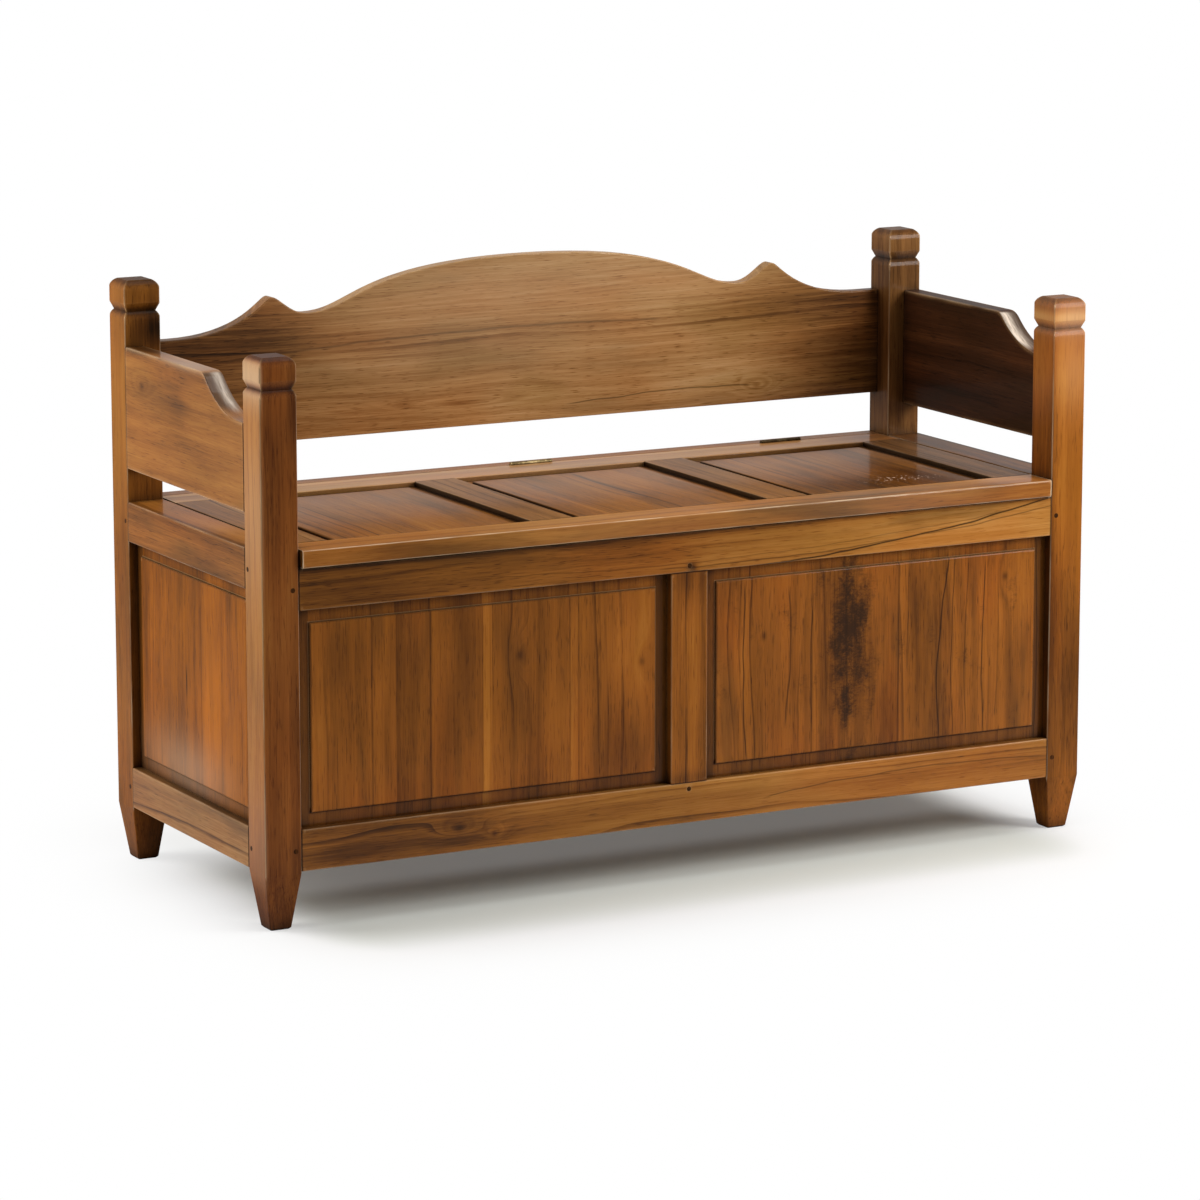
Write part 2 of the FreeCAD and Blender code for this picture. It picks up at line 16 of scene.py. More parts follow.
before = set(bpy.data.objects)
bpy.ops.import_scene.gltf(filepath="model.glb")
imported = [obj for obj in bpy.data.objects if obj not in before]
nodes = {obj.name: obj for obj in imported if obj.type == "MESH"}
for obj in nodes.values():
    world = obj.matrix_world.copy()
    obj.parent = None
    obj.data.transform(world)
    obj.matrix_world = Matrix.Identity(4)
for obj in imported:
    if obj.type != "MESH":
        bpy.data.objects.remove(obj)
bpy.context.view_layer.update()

# Camera, fitted to the photograph's edges and corners: angles in degrees, lens and sensor in millimetres
camera_place = (-2.9692, -5.5287, 1.5385)
camera_pitch = 78.959
camera_yaw = -28.188
camera_lens = 151.31
camera_sensor = 36.0
camera_reach = 200.0

# Light: a white surround behind the bench, a dim room in front of it, and soft boxes, each with its place,
# its target, its two sides and its watts
surround_level = 0.62
room_level = 0.20
soft_boxes = {
    "right_softbox": ((1.60, -1.45, 1.35), (0.2, 0.1, 0.4), (0.9, 1.1), 35.0),
    "left_softbox": ((-1.75, 0.75, 0.95), (-0.55, 0.0, 0.4), (1.1, 1.0), 18.0),
    "overhead_softbox": ((0.3, -0.5, 2.6), (0.0, 0.0, 0.3), (1.8, 1.4), 20.0),
}

# Floor: outside a core under the bench it turns into the white surround; core and fade are along X and Y
floor_radius = 40.0
# The core ends inside the bench's ends, where the camera's white paints light over the shadow
floor_core = (0.455, 0.25)
floor_fade = (0.125, 0.17)
floor_shade = 0.95
open_tint = (1.0, 1.0, 0.985, 1.0)
# Under the bench the floor is tinted darker, a painted shade
shaded_tint = (0.81, 0.83, 0.77, 1.0)

# Joints: how far the tenons reach past the shoulders that show
frame_tenon = 0.026
lid_tenon = 0.030

# Width of the thin margin round a chest panel's raised field
field_margin = 0.0235

# Heights of the finials' tops
front_post_top = 0.690
back_post_top = 0.735

# The varnish: a satin clear coat over wood that hardly shines itself
wood_roughness = 0.44
wood_specular = 0.04
coat_roughness = 0.12
coat_ior = 1.45
grain_depth = 0.0006
grain_strength = 0.25

AXES = {"X": 0, "Y": 1, "Z": 2}


def linear(red, green, blue):
    """A colour as a shader takes it, from its 0 to 255 screen values."""
    channels = []
    for value in (red, green, blue):
        share = value / 255
        channels.append(share / 12.92 if share <= 0.04045 else ((share + 0.055) / 1.055) ** 2.4)
    return (*channels, 1.0)


class Graph:
    """Short ways to add nodes to one node tree and join them."""

    def __init__(self, tree):
        self.tree = tree

    def join(self, socket, value):
        if isinstance(value, bpy.types.NodeSocket):
            self.tree.links.new(value, socket)
        else:
            socket.default_value = value

    def add(self, kind, inputs=None, **settings):
        node = self.tree.nodes.new("ShaderNode" + kind)
        for name, value in settings.items():
            setattr(node, name, value)
        for key, value in (inputs or {}).items():
            self.join(node.inputs[key], value)
        return node

    def math(self, operation, *values):
        node = self.add("Math", operation=operation)
        for index, value in enumerate(values):
            self.join(node.inputs[index], value)
        return node.outputs[0]

    def vector(self, operation, *values):
        node = self.add("VectorMath", operation=operation)
        for index, value in enumerate(values):
            self.join(node.inputs[index], value)
        return node.outputs[0]

    def split(self, vector):
        return self.add("SeparateXYZ", {0: vector}).outputs

    def combine(self, x, y, z):
        return self.add("CombineXYZ", {0: x, 1: y, 2: z}).outputs[0]

    def step(self, value, low, high, to_low=0.0, to_high=1.0):
        inputs = {"Value": value, "From Min": low, "From Max": high, "To Min": to_low, "To Max": to_high}
        return self.add("MapRange", inputs, interpolation_type="SMOOTHSTEP").outputs[0]

    def mix(self, factor, first, second, blend="MIX"):
        inputs = {0: factor, 6: first, 7: second}
        return self.add("Mix", inputs, data_type="RGBA", blend_type=blend).outputs[2]

    def noise(self, vector, scale, detail=2.0, roughness=0.5, distortion=0.0):
        inputs = {
            "Vector": vector, "Scale": scale, "Detail": detail, "Roughness": roughness,
            "Distortion": distortion,
        }
        return self.add("TexNoise", inputs).outputs[0]

    def ramp(self, value, stops, interpolation="LINEAR"):
        node = self.add("ValToRGB", {0: value})
        ramp = node.color_ramp
        ramp.interpolation = interpolation
        while len(ramp.elements) < len(stops):
            ramp.elements.new(0.5)
        for element, (place, colour) in zip(ramp.elements, stops):
            element.position = place
            element.color = colour
        return node.outputs[0]

    def bell(self, place, centre, reach):
        """A smooth hump of height 1 round a centre in the (across, through, along) coordinates."""
        offset = self.vector("SUBTRACT", place, centre)
        scaled = self.vector("MULTIPLY", offset, [1 / size for size in reach])
        square = self.add("VectorMath", {0: scaled, 1: scaled}, operation="DOT_PRODUCT").outputs["Value"]
        return self.math("EXPONENT", self.math("MULTIPLY", square, -1.0))

    def sum(self, *values):
        total = values[0]
        for value in values[1:]:
            total = self.math("ADD", total, value)
        return total


def new_group(name, inputs, outputs):
    """An empty node group with its sockets, its graph, its input sockets and its output node."""
    tree = bpy.data.node_groups.new(name, "ShaderNodeTree")
    for label, kind in inputs:
        tree.interface.new_socket(label, in_out="INPUT", socket_type="NodeSocket" + kind)
    for label, kind in outputs:
        tree.interface.new_socket(label, in_out="OUTPUT", socket_type="NodeSocket" + kind)
    graph = Graph(tree)
    source = tree.nodes.new("NodeGroupInput")
    return graph, source.outputs, tree.nodes.new("NodeGroupOutput").inputs


FIGURE_PARTS = ("Line", "Broad", "Fine", "Streak", "Fibre", "Pore", "Smoke", "Wobble")


def figure_group():
    """Growth rings round a pith line that runs along the board, with streaks, fibres, pores and smoky stain.

    Place is (across, through, along) in metres from the board's middle.
    """
    inputs = [
        ("Place", "Vector"), ("Seed", "Float"), ("Pith", "Vector"), ("Spacing", "Float"), ("Wander", "Float"),
        ("Swell", "Float"),
    ]
    outputs = [(name, "Float") for name in FIGURE_PARTS]
    graph, given, made = new_group("WoodFigure", inputs, outputs)
    line_start = 0.72
    line_peak = 0.975
    shiver_size = 0.0035
    place = given["Place"]
    seed = given["Seed"]
    seeds = graph.vector("MULTIPLY", graph.combine(seed, seed, seed), (7.1, 3.7, 11.3))
    seeded = graph.vector("ADD", place, seeds)

    def cloud(across, along, detail=2.0, roughness=0.5):
        scaled = graph.vector("MULTIPLY", seeded, (across, across, along))
        return graph.noise(scaled, 1.0, detail, roughness)

    def shift(value, size):
        return graph.math("MULTIPLY", graph.math("SUBTRACT", value, 0.5), size)

    def ring_noise(density, detail):
        where = graph.math("MULTIPLY_ADD", rings, density, graph.math("MULTIPLY", seed, 5.3))
        inputs = {"W": where, "Scale": 1.0, "Detail": detail, "Roughness": 0.6}
        return graph.add("TexNoise", inputs, noise_dimensions="1D").outputs[0]

    sway = shift(cloud(2.0, 3.0, 1.0), given["Wander"])
    swing = shift(cloud(14.0, 1.6), graph.math("MULTIPLY", given["Wander"], 0.8))
    shiver = shift(cloud(60.0, 9.0), shiver_size)
    across, through = graph.split(graph.vector("SUBTRACT", place, given["Pith"]))[:2]
    across = graph.math("ADD", across, sway)
    square = graph.math("ADD", graph.math("POWER", across, 2.0), graph.math("POWER", through, 2.0))
    field = graph.sum(graph.math("SQRT", square), swing, shiver, given["Swell"])
    rings = graph.math("DIVIDE", field, given["Spacing"])
    phase = graph.math("FRACT", rings)
    index = graph.math("ADD", graph.math("FLOOR", rings), seed)
    chance = graph.add("TexWhiteNoise", {"W": index}, noise_dimensions="1D").outputs["Value"]
    rise = graph.step(phase, line_start, line_peak)
    fall = graph.step(phase, line_peak, 1.0, 1.0, 0.0)
    strength = graph.step(chance, 0.35, 1.0)
    break_up = graph.step(cloud(9.0, 4.0), 0.36, 0.60)
    shape = graph.math("MULTIPLY", rise, fall)
    presence = graph.math("MULTIPLY", strength, break_up)
    graph.join(made["Line"], graph.math("MULTIPLY", shape, presence))
    graph.join(made["Broad"], ring_noise(0.8, 1.0))
    graph.join(made["Fine"], ring_noise(6.0, 3.0))
    graph.join(made["Streak"], cloud(120.0, 2.6, 3.0, 0.6))
    graph.join(made["Fibre"], cloud(620.0, 14.0, 3.0, 0.65))
    graph.join(made["Pore"], graph.step(cloud(900.0, 45.0, 1.0), 0.60, 0.72))
    graph.join(made["Smoke"], graph.step(cloud(20.0, 3.6, 3.0, 0.55), 0.52, 0.72))
    graph.join(made["Wobble"], cloud(5.0, 11.0, 2.0))
    return graph.tree


figure = figure_group()

# Palettes from dark grain to pale grain, as screen values, and where on the tone scale each colour lies
PALETTES = {
    "brown": [(42, 24, 8), (94, 54, 18), (150, 92, 34), (182, 122, 54), (208, 152, 84)],
    "red": [(40, 20, 8), (92, 49, 20), (144, 84, 35), (182, 122, 57), (212, 160, 92)],
    "golden": [(46, 25, 8), (105, 59, 17), (166, 97, 31), (198, 129, 49), (222, 164, 86)],
    "amber": [(46, 25, 8), (110, 60, 14), (174, 100, 25), (206, 128, 36), (226, 160, 74)],
    "tan": [(42, 25, 11), (96, 60, 28), (148, 101, 54), (184, 138, 86), (210, 170, 122)],
    "dark": [(20, 11, 6), (44, 26, 15), (74, 44, 25), (110, 68, 38), (150, 100, 58)],
    "inner": [(60, 42, 26), (112, 82, 52), (158, 122, 82), (188, 154, 110), (212, 182, 142)],
}
PALETTE_STOPS = (0.0, 0.26, 0.5, 0.74, 1.0)
GRIME_AND_SHADE = linear(24, 15, 7)
SMOKE_AND_SHADE = linear(50, 36, 17)
WORN_AND_HIGHLIGHT = linear(214, 168, 114)
SCOOP_REFLECTION = linear(232, 214, 194)
MILKY_SHEEN = linear(214, 192, 166)
EDGE_HIGHLIGHT = linear(238, 210, 172)
OLD_VARNISH = linear(62, 46, 34)
CROTCH = linear(42, 25, 12)
FLECK = linear(224, 190, 164)
WARM_CAST = linear(255, 230, 204)
COOL_CAST = linear(238, 240, 226)


class Board:
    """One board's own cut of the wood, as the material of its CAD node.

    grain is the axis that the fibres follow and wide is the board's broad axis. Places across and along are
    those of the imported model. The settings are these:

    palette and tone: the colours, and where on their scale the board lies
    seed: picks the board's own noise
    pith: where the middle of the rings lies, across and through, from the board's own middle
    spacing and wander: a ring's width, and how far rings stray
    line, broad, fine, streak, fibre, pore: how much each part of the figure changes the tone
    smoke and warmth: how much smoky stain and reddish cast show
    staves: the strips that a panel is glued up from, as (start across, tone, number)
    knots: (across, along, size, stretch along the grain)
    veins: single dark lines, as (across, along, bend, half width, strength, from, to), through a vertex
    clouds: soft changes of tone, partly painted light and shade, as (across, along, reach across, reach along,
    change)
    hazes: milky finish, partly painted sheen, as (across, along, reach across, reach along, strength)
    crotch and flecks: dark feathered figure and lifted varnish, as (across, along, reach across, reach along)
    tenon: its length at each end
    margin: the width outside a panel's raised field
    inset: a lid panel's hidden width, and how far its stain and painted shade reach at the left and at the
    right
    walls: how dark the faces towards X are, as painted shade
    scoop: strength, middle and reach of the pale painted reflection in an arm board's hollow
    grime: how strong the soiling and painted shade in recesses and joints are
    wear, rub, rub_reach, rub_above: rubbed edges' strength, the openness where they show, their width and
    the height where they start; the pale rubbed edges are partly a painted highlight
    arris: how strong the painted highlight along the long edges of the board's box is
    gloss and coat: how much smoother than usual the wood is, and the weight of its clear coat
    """

    def __init__(self, name, grain, wide, **settings):
        self.name = name
        self.low, self.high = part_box(name)
        self.centre = (self.low + self.high) / 2
        self.half = (self.high - self.low) / 2
        self.wide_axis = AXES[wide]
        self.thin_axis = 3 - AXES[grain] - AXES[wide]
        self.grain_axis = AXES[grain]
        self.settings = {
            "palette": "brown", "tone": 0.5, "seed": 0.0, "pith": (0.0, -0.06), "spacing": 0.014,
            "wander": 0.03, "line": 0.30, "broad": 0.28, "fine": 0.16, "streak": 0.24, "fibre": 0.34,
            "pore": 0.14, "smoke": 0.45, "warmth": 0.5, "staves": (), "knots": (), "veins": (), "clouds": (),
            "hazes": (), "crotch": None, "flecks": None, "tenon": 0.0, "margin": 0.0, "inset": None,
            "wall_shade": 0.0, "scoop": None, "recess_grime_and_shade": 0.85, "wear": 0.55, "rub": (0.44, 0.72), "rub_reach": 0.006,
            "rub_above": None, "arris_highlight": 0.18, "gloss": 0.0, "coat": 0.30,
        }
        unknown = set(settings) - set(self.settings)
        assert not unknown, unknown
        self.settings.update(settings)
        self.build()

    def spot(self, across, along):
        """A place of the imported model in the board's (across, through, along) coordinates."""
        return (across - self.centre[self.wide_axis], 0.0, along - self.centre[self.grain_axis])

    def build(self):
        """Builds the material from the figure outwards, and puts it on the node."""
        material = bpy.data.materials.new("Wood_" + self.name)
        material.use_nodes = True
        material.node_tree.nodes.clear()
        self.graph = graph = Graph(material.node_tree)
        centred = graph.vector("SUBTRACT", graph.add("TexCoord").outputs["Object"], tuple(self.centre))
        parts = graph.split(centred)
        self.across, self.along = parts[self.wide_axis], parts[self.grain_axis]
        self.local = graph.combine(self.across, parts[self.thin_axis], self.along)
        shifted = graph.vector("ADD", self.local, tuple(self.settings["seed"] * k for k in (3.1, 1.7, 5.3)))
        self.cloud_place = graph.vector("MULTIPLY", shifted, (16.0, 16.0, 5.0))
        self.cloud = graph.noise(self.cloud_place, 1.0, 3.0)
        seed, tone, seam, cut = self.staves()
        swell, core, around = self.knots()
        self.wood = self.figure(seed, cut, swell)
        lightness = self.lightness(tone, seam, core, around)
        colour = self.marks(self.bare_wood(lightness))
        colour, grime_and_shade = self.use(colour)
        self.finish(material, colour, grime_and_shade, seam)

    def figure(self, seed, cut, swell):
        """The wood's figure at this board's place in its own tree."""
        given, graph = self.settings, self.graph
        wood = graph.add("Group", node_tree=figure)
        inputs = {
            "Place": graph.vector("ADD", self.local, cut), "Seed": seed, "Pith": (*given["pith"], 0.0),
            "Spacing": given["spacing"], "Wander": given["wander"], "Swell": swell,
        }
        for key, value in inputs.items():
            graph.join(wood.inputs[key], value)
        return wood.outputs

    def lightness(self, tone, seam, core, around):
        """Where on its palette each place of the board lies."""
        given, graph = self.settings, self.graph
        line = graph.math("MULTIPLY_ADD", around, given["line"] * 0.8, -given["line"])
        return graph.sum(
            tone,
            self.swing("Broad", given["broad"]),
            self.swing("Fine", given["fine"]),
            self.swing("Streak", given["streak"]),
            self.swing("Fibre", given["fibre"]),
            graph.math("MULTIPLY", self.wood["Line"], line),
            graph.math("MULTIPLY", self.wood["Pore"], -given["pore"]),
            graph.math("MULTIPLY", graph.math("SUBTRACT", self.cloud, 0.5), 0.36),
            graph.math("MULTIPLY", core, -0.18),
            graph.math("MULTIPLY", seam, -0.2),
            self.tone_clouds(),
        )

    def bare_wood(self, lightness):
        """The palette's colour, with patches of a warmer and a cooler cast."""
        given, graph = self.settings, self.graph
        stops = [(stop, linear(*shade)) for stop, shade in zip(PALETTE_STOPS, PALETTES[given["palette"]])]
        colour = graph.ramp(lightness, stops)
        hue = graph.noise(self.cloud_place, 0.8, 2.0)
        warm = graph.step(hue, 0.46, 0.68, 0.0, given["warmth"])
        cool = graph.step(hue, 0.34, 0.50, 0.7, 0.0)
        colour = graph.mix(warm, colour, WARM_CAST, "MULTIPLY")
        return graph.mix(cool, colour, COOL_CAST, "MULTIPLY")

    def marks(self, colour):
        """Smoky stain, single dark lines, crotch figure, the field's edge and milky finish, partly painted
        light.
        """
        given, graph = self.settings, self.graph
        smoke = graph.math("MULTIPLY", self.wood["Smoke"], given["smoke"])
        # On a panel's margin the smoky stain is joined by painted shade
        if given["margin"]:
            smoke = graph.math("MAXIMUM", smoke, self.outside_field())
        colour = graph.mix(smoke, colour, SMOKE_AND_SHADE)
        if given["veins"]:
            colour = graph.mix(self.veins(), colour, GRIME_AND_SHADE)
        if given["crotch"]:
            colour = graph.mix(self.crotch(), colour, CROTCH)
        if given["margin"]:
            colour = self.field_line(colour)
        # Milky finish, partly a painted sheen
        for across, along, reach_across, reach_along, amount in given["hazes"]:
            hump = graph.bell(self.local, self.spot(across, along), (reach_across, 0.5, reach_along))
            colour = graph.mix(graph.math("MULTIPLY", hump, amount), colour, MILKY_SHEEN)
        return colour

    def use(self, colour):
        """What years of use and painted light did to the colour, and the share of soiling and painted shade."""
        given, graph = self.settings, self.graph
        grime_and_shade, wear_and_highlight, corner = self.edges()
        # Pale rubbed edges, partly a painted highlight
        colour = graph.mix(graph.math("MULTIPLY", wear_and_highlight, given["wear"]), colour, WORN_AND_HIGHLIGHT)
        # A painted highlight on the long edges
        colour = graph.mix(corner, colour, EDGE_HIGHLIGHT)
        # Dirt and painted shade in recesses, and dark joints
        colour = graph.mix(grime_and_shade, colour, GRIME_AND_SHADE)
        if given["flecks"]:
            colour = graph.mix(self.flecks(), colour, FLECK)
        # Painted shade on the faces towards X, the sides of the lid's recesses
        if given["wall_shade"]:
            upright = graph.math("ABSOLUTE", self.facing("X"))
            colour = graph.mix(graph.step(upright, 0.35, 0.8, 0.0, given["wall_shade"]), colour, GRIME_AND_SHADE)
        if given["scoop"]:
            colour = self.scoop(colour)
        return colour, grime_and_shade

    def facing(self, axis):
        """How far the surface faces along an axis of the model."""
        return self.graph.split(self.graph.add("NewGeometry").outputs["Normal"])[axis]

    def swing(self, output, size):
        """A part of the figure as a change to both sides of zero."""
        graph = self.graph
        return graph.math("MULTIPLY", graph.math("SUBTRACT", self.wood[output], 0.5), size)

    def staves(self):
        """Seed, tone, seam line and place in the tree: a board glued up from staves changes them across."""
        given, graph = self.settings, self.graph
        if not given["staves"]:
            return given["seed"], given["tone"], 0.0, (0.0, 0.0, 0.0)
        width = 2 * self.half[self.wide_axis]
        share = graph.math("DIVIDE", graph.math("ADD", self.across, self.half[self.wide_axis]), width)
        starts = [start for start, tone, number in given["staves"]]
        edges = [max((start - self.low[self.wide_axis]) / width, 0.0) for start in starts]
        stops = [(edge, (tone, number, 0, 1)) for edge, (start, tone, number) in zip(edges, given["staves"])]
        tone, number = graph.split(graph.ramp(share, stops, "CONSTANT"))[:2]
        seam_half = 0.0007 / width
        seams = []
        for edge in edges[1:]:
            seams.append((edge - seam_half, (0, 0, 0, 1)))
            seams.append((edge, (1, 1, 1, 1)))
            seams.append((edge + seam_half, (0, 0, 0, 1)))
        seam = graph.split(graph.ramp(share, seams))[0]
        cut = graph.vector("MULTIPLY", graph.combine(number, number, number), (0.31, 0.0, 1.7))
        return graph.math("MULTIPLY_ADD", number, 37.0, given["seed"]), tone, seam, cut

    def knots(self):
        """How far knots push the rings aside, their dark hearts and the wood round them."""
        graph = self.graph
        swell, core, around = 0.0, 0.0, 0.0
        for across, along, size, stretch in self.settings["knots"]:
            spot = self.spot(across, along)
            hump = graph.bell(self.local, spot, (size, 0.2, stretch * size))
            heart = graph.bell(self.local, spot, (0.34 * size, 0.2, 0.2 * stretch * size))
            swell = graph.sum(swell, graph.math("MULTIPLY", hump, 1.5 * size))
            core = graph.sum(core, heart)
            around = graph.math("MAXIMUM", around, hump)
        return swell, core, around

    def veins(self):
        """Single dark lines that run along the grain in a shallow curve."""
        graph = self.graph
        total = None
        for across, middle, bend, half_width, strength, start, end in self.settings["veins"]:
            spot = self.spot(across, middle)
            run = graph.math("SUBTRACT", self.along, spot[2])
            curve = graph.math("MULTIPLY_ADD", graph.math("POWER", run, 2.0), bend, spot[0])
            strayed = graph.math("ADD", self.across, self.swing("Wobble", 0.009))
            away = graph.math("ABSOLUTE", graph.math("SUBTRACT", strayed, curve))
            mark = graph.step(away, half_width * 0.3, half_width * 1.6, strength, 0.0)
            first, last = (place - self.centre[self.grain_axis] for place in (start, end))
            mark = graph.math("MULTIPLY", mark, graph.step(self.along, first, first + 0.02))
            mark = graph.math("MULTIPLY", mark, graph.step(self.along, last - 0.02, last, 1.0, 0.0))
            total = mark if total is None else graph.math("MAXIMUM", total, mark)
        return total

    def tone_clouds(self):
        """Broad soft clouds of darker or paler tone, some of them painted light and shade."""
        graph = self.graph
        total = 0.0
        for across, along, reach_across, reach_along, change in self.settings["clouds"]:
            hump = graph.bell(self.local, self.spot(across, along), (reach_across, 0.5, reach_along))
            total = graph.sum(total, graph.math("MULTIPLY", hump, change))
        return total

    def inside(self):
        """How far a place lies inside the board's outline."""
        graph = self.graph
        return graph.math("MINIMUM", *[
            graph.math("SUBTRACT", self.half[axis], graph.math("ABSOLUTE", value))
            for axis, value in ((self.wide_axis, self.across), (self.grain_axis, self.along))
        ])

    def corner(self):
        """How far a place is from the nearest edge of the board's box: the middle one of three distances."""
        graph = self.graph
        through = graph.split(self.local)[1]
        broad, thick, long = (
            graph.math("SUBTRACT", self.half[axis], graph.math("ABSOLUTE", value))
            for axis, value in (
                (self.wide_axis, self.across), (self.thin_axis, through), (self.grain_axis, self.along),
            )
        )
        near = graph.math("MINIMUM", broad, thick)
        far = graph.math("MAXIMUM", broad, thick)
        return graph.math("MAXIMUM", near, graph.math("MINIMUM", far, long))

    def outside_field(self):
        """Stain and painted shade on the thin margin round a raised field, mostly beside and below it."""
        graph, margin = self.graph, self.settings["margin"]
        beside = graph.math("SUBTRACT", self.half[self.wide_axis], graph.math("ABSOLUTE", self.across))
        above = graph.math("SUBTRACT", self.half[self.grain_axis], self.along)
        below = graph.math("ADD", self.half[self.grain_axis], self.along)
        stain = 0.0
        for room, strength in ((beside, 0.50), (above, 0.04), (below, 0.34)):
            covered = graph.step(room, margin - 0.0015, margin + 0.0005, strength, 0.0)
            stain = graph.math("MAXIMUM", stain, covered)
        return stain

    def field_line(self, colour):
        """The field's edge: worn pale above and beside, dark with old polish below, both partly painted light.
        """
        graph = self.graph
        margin = self.settings["margin"]
        off = graph.math("ABSOLUTE", graph.math("SUBTRACT", self.inside(), margin - 0.0004))
        line = graph.step(off, 0.0003, 0.0014, 1.0, 0.0)
        foot = margin - self.half[self.grain_axis]
        lower = graph.step(self.along, foot + 0.001, foot + 0.004, 0.7, 0.0)
        upper = graph.step(self.along, foot + 0.004, foot + 0.007, 0.0, 0.42)
        colour = graph.mix(graph.math("MULTIPLY", line, upper), colour, WORN_AND_HIGHLIGHT)
        return graph.mix(graph.math("MULTIPLY", line, lower), colour, GRIME_AND_SHADE)

    def scoop(self, colour):
        """An arm board's hollow front edge: old dark varnish, with a painted reflection in a pale streaked
        band.
        """
        graph = self.graph
        strength, middle, reach = self.settings["scoop"]
        hollow = graph.step(self.facing("Y"), -0.45, -0.20, 1.0, 0.0)
        through = graph.split(self.local)[1]
        streaks = graph.noise(graph.vector("MULTIPLY", self.local, (1.0, 7.0, 1.0)), 30.0, 3.0, 0.6)
        share = graph.math("DIVIDE", through, self.half[self.thin_axis])
        band = graph.bell(graph.combine(share, 0.0, 0.0), (middle, 0.0, 0.0), (reach, 1.0, 1.0))
        # The pale streaked band is a painted reflection
        pale = graph.math("MULTIPLY", band, graph.step(streaks, 0.30, 0.62, 0.35, strength))
        colour = graph.mix(graph.math("MULTIPLY", hollow, 0.75), colour, OLD_VARNISH)
        return graph.mix(graph.math("MULTIPLY", hollow, pale), colour, SCOOP_REFLECTION)

    def crotch(self):
        """Dark feathered figure, in patches down a strip."""
        graph = self.graph
        across, along, reach_across, reach_along = self.settings["crotch"]
        hump = graph.bell(self.local, self.spot(across, along), (reach_across, 0.5, reach_along))
        coarse = graph.noise(graph.vector("MULTIPLY", self.local, (42.0, 42.0, 24.0)), 1.0, 5.0, 0.62, 0.4)
        feather = graph.noise(graph.vector("MULTIPLY", self.local, (170.0, 170.0, 330.0)), 1.0, 4.0, 0.6, 0.8)
        spread = graph.sum(coarse, graph.math("MULTIPLY", feather, 0.42), graph.math("MULTIPLY", hump, 0.42))
        return graph.step(spread, 0.79, 1.17, 0.0, 0.92)

    def flecks(self):
        """Small pale flecks where the varnish has lifted."""
        graph = self.graph
        across, along, reach_across, reach_along = self.settings["flecks"]
        hump = graph.bell(self.local, self.spot(across, along), (reach_across, 0.5, reach_along))
        specks = graph.noise(graph.vector("MULTIPLY", self.local, (230.0, 230.0, 150.0)), 1.0, 3.0, 0.6)
        upper = graph.step(graph.split(self.local)[1], 0.0, 0.001, 0.0, 0.8)
        lifted = graph.step(graph.math("MULTIPLY_ADD", hump, 0.17, specks), 0.73, 0.78)
        return graph.math("MULTIPLY", lifted, upper)

    def edges(self):
        """Dirt and painted shade in recesses and joints, and paler rubbed edges, partly painted highlight."""
        graph, given = self.graph, self.settings
        recess_reach = 0.026
        # Occlusion darkens recesses and the gaps between parts: painted shade, taken as soiling too
        recess = graph.add("AmbientOcclusion", {"Distance": recess_reach}, samples=4).outputs["AO"]
        grime_and_shade = graph.math("MULTIPLY", graph.step(recess, 0.28, 0.96, 1.0, 0.0), given["recess_grime_and_shade"])
        reach = given["rub_reach"]
        # Rubbed edges found by occlusion inside the board: wear, partly a painted highlight
        ridge = graph.add("AmbientOcclusion", {"Distance": reach}, samples=4, inside=True).outputs["AO"]
        rub = graph.step(graph.noise(self.cloud_place, 3.0, 2.0), 0.35, 0.65, 0.3, 1.0)
        wear_and_highlight = graph.math("MULTIPLY", graph.step(ridge, *given["rub"], 1.0, 0.0), rub)
        if given["rub_above"]:
            start = given["rub_above"] - self.centre[self.grain_axis]
            wear_and_highlight = graph.math("MULTIPLY", wear_and_highlight, graph.step(self.along, start, start + 0.004))
        # A painted highlight along the long edges of the board's box
        corner = graph.step(self.corner(), 0.0006, 0.0018, given["arris_highlight"], 0.0)
        corner = graph.math("MULTIPLY", corner, rub)
        if given["inset"]:
            grime_and_shade = graph.math("MAXIMUM", grime_and_shade, self.recess_shade())
        if given["tenon"]:
            shoulder = self.half[self.grain_axis] - given["tenon"]
            from_end = graph.math("SUBTRACT", shoulder, graph.math("ABSOLUTE", self.along))
            shown = graph.step(from_end, 0.001, 0.005)
            wear_and_highlight = graph.math("MULTIPLY", wear_and_highlight, shown)
            corner = graph.math("MULTIPLY", corner, shown)
            joint = graph.step(graph.math("ABSOLUTE", from_end), 0.0003, 0.0018, 0.75, 0.0)
            grime_and_shade = graph.math("MAXIMUM", grime_and_shade, joint)
        return grime_and_shade, wear_and_highlight, corner

    def recess_shade(self):
        """Old polish and painted shade along a lid panel's sides, at the foot of the recess."""
        graph = self.graph
        hidden, left, right = self.settings["inset"]
        from_left = graph.math("ADD", self.half[self.wide_axis] - hidden, self.across)
        from_right = graph.math("SUBTRACT", self.half[self.wide_axis] - hidden, self.across)
        return graph.math(
            "MAXIMUM",
            graph.step(from_left, left - 0.0012, left, 0.8, 0.0),
            graph.step(from_right, right - 0.0012, right, 0.8, 0.0),
        )

